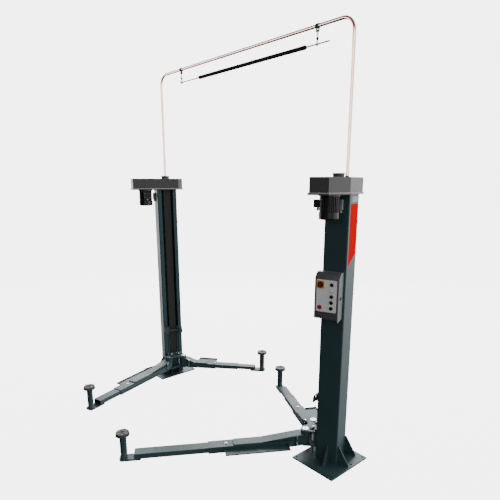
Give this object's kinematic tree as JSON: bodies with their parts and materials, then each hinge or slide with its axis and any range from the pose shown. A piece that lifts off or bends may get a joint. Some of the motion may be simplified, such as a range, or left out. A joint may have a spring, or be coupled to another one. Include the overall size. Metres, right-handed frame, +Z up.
{
  "type": "two post car lift",
  "caption": "Two post vehicle lift: turned columns with head caps and motors, carriages with telescopic swing arms and pads, control box, overhead tube with stop bar.",
  "frame": {"origin": "on the floor, midway between the two base plates", "axes": "+X from the left column to the right one, +Y away from the side that both open column faces turn to, +Z up"},
  "size_m": [3.434, 2.51, 3.949],
  "materials": {
    "column_paint": "satin dark green grey",
    "strip_grey": "matt woven strip",
    "cap_grey": "satin mid grey",
    "steel": "ground steel",
    "zinc": "zinc plated",
    "motor_black": "satin black",
    "box_grey": "satin light grey",
    "panel_silver": "brushed",
    "yellow": "gloss",
    "red": "gloss",
    "lamp_white": "gloss",
    "key_black": "matt",
    "tube_steel": "polished",
    "clamp_green": "satin green",
    "foam_black": "matt foam",
    "pad_rubber": "matt"
  },
  "bodies": {
    "frame": {"right_base_plate": "column_paint", "right_column": "column_paint", "right_cover_strip": "strip_grey", "right_spindle": "steel", "right_head_plate": "column_paint", "right_cap": "cap_grey", "right_motor": "motor_black", "left_base_plate": "column_paint", "left_column": "column_paint", "left_cover_strip": "strip_grey", "left_spindle": "steel", "left_head_plate": "column_paint", "left_cap": "cap_grey", "left_motor": "motor_black", "control_box": "box_grey", "control_panel": "panel_silver", "switch_plate": "yellow", "lamp": "lamp_white", "overhead_tube": "tube_steel", "right_clamp": "clamp_green", "left_clamp": "clamp_green"},
    "right_lift": {"right_carriage": "column_paint", "right_arm_pins": "zinc", "right_arm_locks": "column_paint"},
    "right_long_swing": {"right_long_arm": "column_paint", "right_long_tray": "column_paint"},
    "right_long_slide": {"right_long_inner": "column_paint"},
    "right_long_screw": {"right_long_post": "column_paint", "right_long_pad": "pad_rubber"},
    "right_short_swing": {"right_short_arm": "column_paint", "right_short_tray": "column_paint"},
    "right_short_slide": {"right_short_middle": "column_paint"},
    "right_short_end": {"right_short_inner": "column_paint"},
    "right_short_screw": {"right_short_post": "column_paint", "right_short_pad": "pad_rubber"},
    "left_lift": {"left_carriage": "column_paint", "left_arm_pins": "zinc", "left_arm_locks": "column_paint"},
    "left_long_swing": {"left_long_arm": "column_paint", "left_long_tray": "column_paint"},
    "left_long_slide": {"left_long_inner": "column_paint"},
    "left_long_screw": {"left_long_post": "column_paint", "left_long_pad": "pad_rubber"},
    "left_short_swing": {"left_short_arm": "column_paint", "left_short_tray": "column_paint"},
    "left_short_slide": {"left_short_middle": "column_paint"},
    "left_short_end": {"left_short_inner": "column_paint"},
    "left_short_screw": {"left_short_post": "column_paint", "left_short_pad": "pad_rubber"},
    "main_switch": {"switch_knob": "red"},
    "key_top_body": {"key_top": "key_black"},
    "key_up_body": {"key_up": "key_black"},
    "key_down_body": {"key_down": "key_black"},
    "key_low_body": {"key_low": "key_black"},
    "stop_key_body": {"stop_key": "red"},
    "stop_bar": {"right_hanger": "zinc", "left_hanger": "zinc", "stop_rod": "steel", "stop_sleeve": "foam_black"}
  },
  "joints": [
    {"name": "right_lift_slide", "type": "slide", "parent": "frame", "child": "right_lift", "axis": [0, 0, 1], "range_m": [0, 1.8]},
    {"name": "right_long_hinge", "type": "hinge", "parent": "right_lift", "child": "right_long_swing", "pos_m": [1.26391, -0.13214, 0.205], "axis": [0, 0, 1], "range_deg": [-6.6, 36.4]},
    {"name": "right_long_extend", "type": "slide", "parent": "right_long_swing", "child": "right_long_slide", "axis": [-0.5417, -0.8406, 0], "range_m": [-0.621, 0.014]},
    {"name": "right_long_height", "type": "slide", "parent": "right_long_slide", "child": "right_long_screw", "axis": [0, 0, 1], "range_m": [-0.09, 0.02]},
    {"name": "right_short_hinge", "type": "hinge", "parent": "right_lift", "child": "right_short_swing", "pos_m": [1.20012, 0.05742, 0.205], "axis": [0, 0, 1], "range_deg": [-29, 4]},
    {"name": "right_short_extend", "type": "slide", "parent": "right_short_swing", "child": "right_short_slide", "axis": [-0.8878, 0.4602, 0], "range_m": [-0.245, 0.005]},
    {"name": "right_short_reach", "type": "slide", "parent": "right_short_slide", "child": "right_short_end", "axis": [-0.8878, 0.4602, 0], "range_m": [-0.176, 0.019]},
    {"name": "right_short_height", "type": "slide", "parent": "right_short_end", "child": "right_short_screw", "axis": [0, 0, 1], "range_m": [-0.09, 0.02]},
    {"name": "left_lift_slide", "type": "slide", "parent": "frame", "child": "left_lift", "axis": [0, 0, 1], "range_m": [0, 1.8]},
    {"name": "left_long_hinge", "type": "hinge", "parent": "left_lift", "child": "left_long_swing", "pos_m": [-1.26391, -0.13214, 0.205], "axis": [0, 0, 1], "range_deg": [-21.5, 21.5]},
    {"name": "left_long_extend", "type": "slide", "parent": "left_long_swing", "child": "left_long_slide", "axis": [0.3074, -0.9516, 0], "range_m": [-0.24, 0.395]},
    {"name": "left_long_height", "type": "slide", "parent": "left_long_slide", "child": "left_long_screw", "axis": [0, 0, 1], "range_m": [-0.09, 0.02]},
    {"name": "left_short_hinge", "type": "hinge", "parent": "left_lift", "child": "left_short_swing", "pos_m": [-1.20012, 0.05742, 0.205], "axis": [0, 0, 1], "range_deg": [-16.9, 16.1]},
    {"name": "left_short_extend", "type": "slide", "parent": "left_short_swing", "child": "left_short_slide", "axis": [0.7627, 0.6468, 0], "range_m": [-0.245, 0.005]},
    {"name": "left_short_reach", "type": "slide", "parent": "left_short_slide", "child": "left_short_end", "axis": [0.7627, 0.6468, 0], "range_m": [-0.17, 0.025]},
    {"name": "left_short_height", "type": "slide", "parent": "left_short_end", "child": "left_short_screw", "axis": [0, 0, 1], "range_m": [-0.09, 0.02]},
    {"name": "main_switch_turn", "type": "hinge", "parent": "frame", "child": "main_switch", "pos_m": [1.45642, -0.21507, 1.79], "axis": [0.319, -0.9478, 0], "range_deg": [-90, 0]},
    {"name": "key_top_press", "type": "slide", "parent": "frame", "child": "key_top_body", "axis": [-0.319, 0.9478, 0], "range_m": [0, 0.004], "stiffness_N_per_m": 400, "springref_m": -0.002},
    {"name": "key_up_press", "type": "slide", "parent": "frame", "child": "key_up_body", "axis": [-0.319, 0.9478, 0], "range_m": [0, 0.004], "stiffness_N_per_m": 400, "springref_m": -0.002},
    {"name": "key_down_press", "type": "slide", "parent": "frame", "child": "key_down_body", "axis": [-0.319, 0.9478, 0], "range_m": [0, 0.004], "stiffness_N_per_m": 400, "springref_m": -0.002},
    {"name": "key_low_press", "type": "slide", "parent": "frame", "child": "key_low_body", "axis": [-0.319, 0.9478, 0], "range_m": [0, 0.004], "stiffness_N_per_m": 400, "springref_m": -0.002},
    {"name": "stop_key_press", "type": "slide", "parent": "frame", "child": "stop_key_body", "axis": [-0.319, 0.9478, 0], "range_m": [0, 0.004], "stiffness_N_per_m": 400, "springref_m": -0.002},
    {"name": "stop_bar_swing", "type": "hinge", "parent": "frame", "child": "stop_bar", "pos_m": [0, 0.06, 3.888], "axis": [1, 0, 0], "range_deg": [-25, 25]}
  ],
  "couplings": [
    {"joint": "left_lift_slide", "follows": "right_lift_slide", "ratio": 1}
  ]
}
